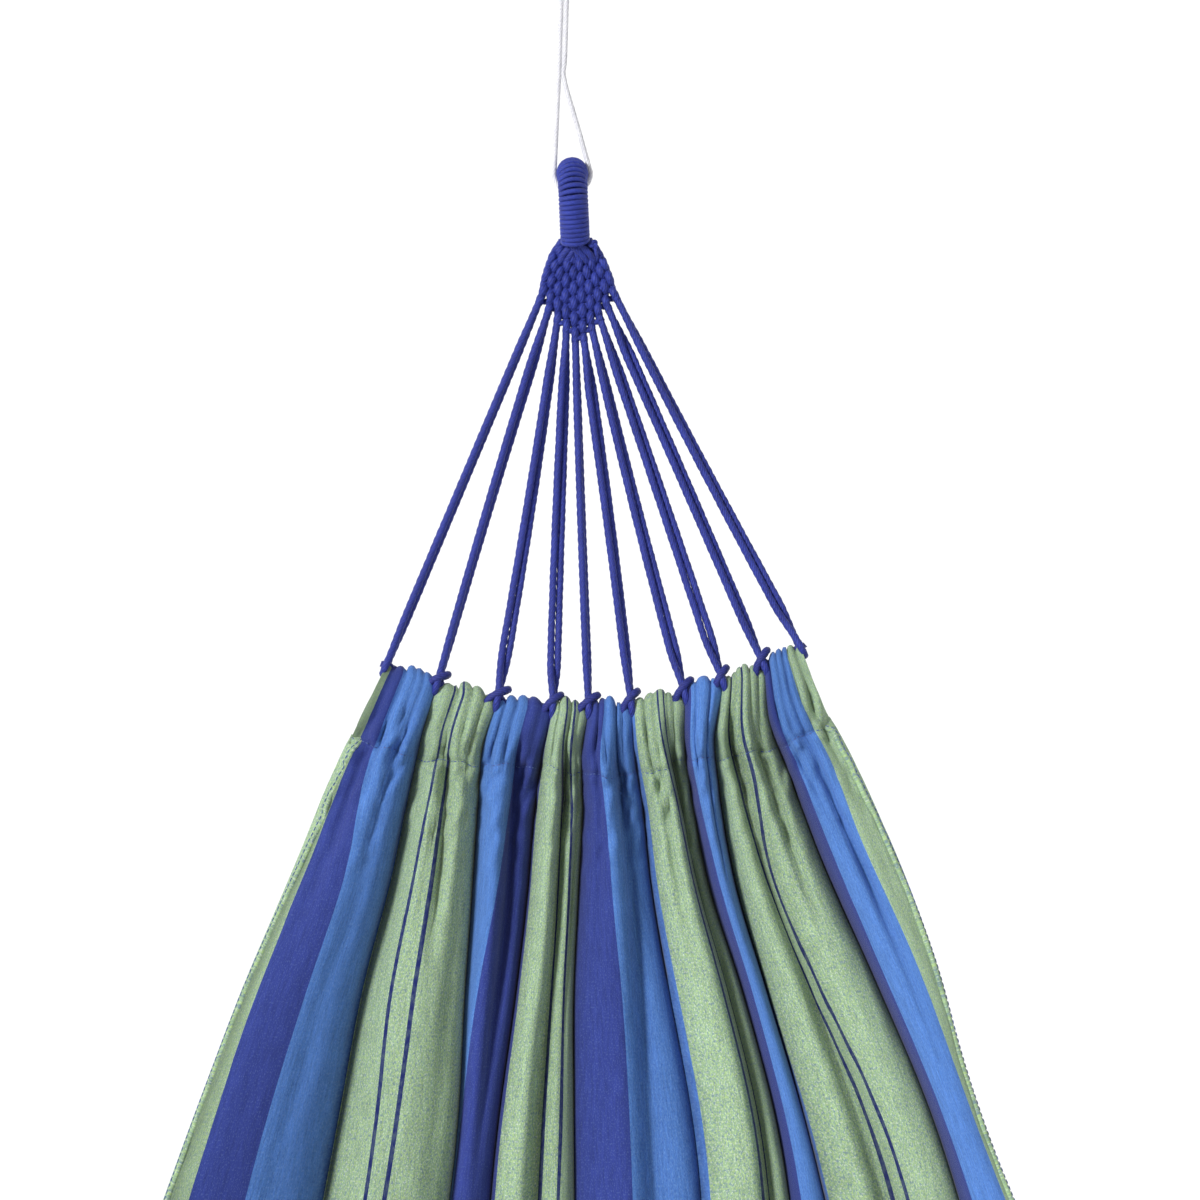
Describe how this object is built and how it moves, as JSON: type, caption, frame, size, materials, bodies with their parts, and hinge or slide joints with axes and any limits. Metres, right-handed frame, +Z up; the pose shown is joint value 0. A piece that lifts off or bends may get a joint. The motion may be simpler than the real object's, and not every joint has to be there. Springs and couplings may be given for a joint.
{
  "type": "rope hammock",
  "caption": "Striped cloth hammock gathered on header ropes, hung by a fan of doubled cords, a woven clew, a whipped eye and a knotted sling at each end.",
  "frame": {"origin": "inside of the head hanging loop, where the hook bears", "axes": "+X runs level from the head hanging point to the foot hanging point, +Z is up, +Y is to the left of someone lying with their head at the origin's end"},
  "size_m": [2.9506, 0.81, 0.5607],
  "materials": {
    "bed_cloth": "matte",
    "hem_cloth": "matte",
    "thread": "matte",
    "header_rope": "matte",
    "suspension_cord": "satin",
    "clew_cord": "matte",
    "whipping_cord": "matte",
    "sling_rope": "satin"
  },
  "bodies": {
    "hangers": {"head_sling_knot": "sling_rope", "head_hanging_loop": "sling_rope", "foot_sling_knot": "sling_rope", "foot_hanging_loop": "sling_rope"},
    "hammock": {"bed_fabric": "bed_cloth", "left_side_hem": "hem_cloth", "right_side_hem": "hem_cloth", "left_side_stitching": "thread", "right_side_stitching": "thread", "head_tunnel_hem": "hem_cloth", "head_tunnel_stitching": "thread", "head_header_rope": "header_rope", "head_header_hitches": "header_rope", "head_clew": "clew_cord", "head_eye_core": "clew_cord", "head_eye_whipping": "whipping_cord", "head_whipping_knot": "whipping_cord", "head_sling": "sling_rope", "foot_tunnel_hem": "hem_cloth", "foot_tunnel_stitching": "thread", "foot_header_rope": "header_rope", "foot_header_hitches": "header_rope", "foot_clew": "clew_cord", "foot_eye_core": "clew_cord", "foot_eye_whipping": "whipping_cord", "foot_whipping_knot": "whipping_cord", "foot_sling": "sling_rope", "head_cord_1": "suspension_cord", "foot_cord_1": "suspension_cord", "head_cord_2": "suspension_cord", "foot_cord_2": "suspension_cord", "head_cord_3": "suspension_cord", "foot_cord_3": "suspension_cord", "head_cord_4": "suspension_cord", "foot_cord_4": "suspension_cord", "head_cord_5": "suspension_cord", "foot_cord_5": "suspension_cord", "head_cord_6": "suspension_cord", "foot_cord_6": "suspension_cord", "head_cord_7": "suspension_cord", "foot_cord_7": "suspension_cord", "head_cord_8": "suspension_cord", "foot_cord_8": "suspension_cord", "head_cord_9": "suspension_cord", "foot_cord_9": "suspension_cord", "head_cord_10": "suspension_cord", "foot_cord_10": "suspension_cord"}
  },
  "joints": [
    {"name": "swing", "type": "hinge", "parent": "hangers", "child": "hammock", "pos_m": [0.05196, 0, -0.03], "axis": [1, 0, 0], "range_deg": [-50, 50]}
  ]
}
